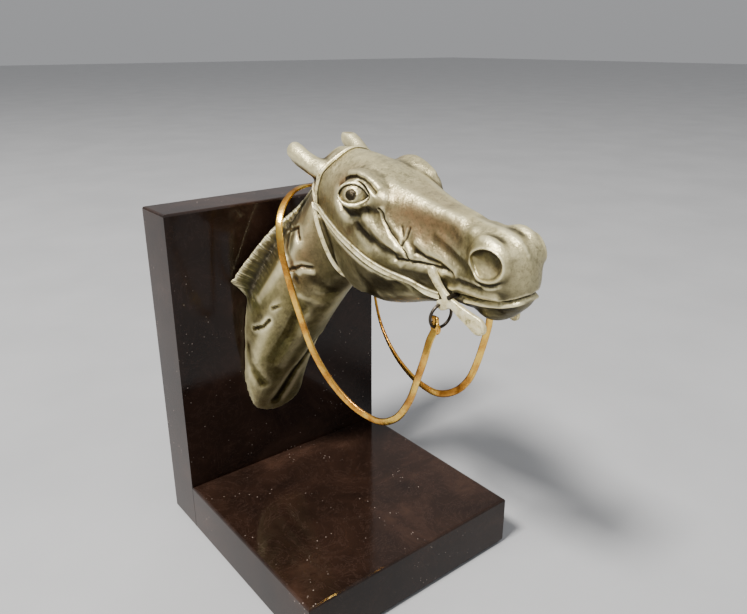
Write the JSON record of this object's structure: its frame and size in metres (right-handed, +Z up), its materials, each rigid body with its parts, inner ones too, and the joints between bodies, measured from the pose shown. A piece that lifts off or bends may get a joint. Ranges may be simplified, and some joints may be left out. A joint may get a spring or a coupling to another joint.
{
  "type": "horse head bookend",
  "caption": "Bookend: a bridled bronze horse head and neck fixed to an upright polished marble slab on a marble foot, with a gilt rein looped over the neck.",
  "frame": {"origin": "on the table, under the middle of the two slabs' footprint", "axes": "+Z up, the horse looks along -Y, its left side is on +X, and books stand against the +Y face"},
  "size_m": [0.112, 0.1725, 0.1904],
  "materials": {
    "marble": "polished",
    "bronze": "patinated",
    "strap_bronze": "patinated, rubbed",
    "dark_bronze": "dark patina",
    "gilt": "gilt, worn to copper",
    "steel": "turned",
    "felt": "felt"
  },
  "bodies": {
    "bookend": {"upright_slab": "marble", "foot_slab": "marble", "felt_sheet": "felt", "dowel_right": "steel", "dowel_left": "steel", "neck_screw_lower": "steel", "neck_washer_lower": "steel", "neck_screw_upper": "steel", "neck_washer_upper": "steel", "horse_casting": "bronze", "cheek_strap_right": "strap_bronze", "cheek_strap_left": "strap_bronze", "brow_band": "strap_bronze", "throat_latch": "strap_bronze", "crown_strap": "strap_bronze", "bit_mouthpiece": "dark_bronze", "bit_cheek_right": "strap_bronze", "bit_cheek_left": "strap_bronze"},
    "rein_set": {"rein": "gilt", "bit_ring_right": "dark_bronze", "bit_ring_left": "dark_bronze"}
  },
  "joints": [
    {"name": "rein_lift", "type": "hinge", "parent": "bookend", "child": "rein_set", "pos_m": [0.00698, -0.0758, 0.14273], "axis": [0.9863, -0.1016, 0.1296], "range_deg": [0, 4]}
  ]
}
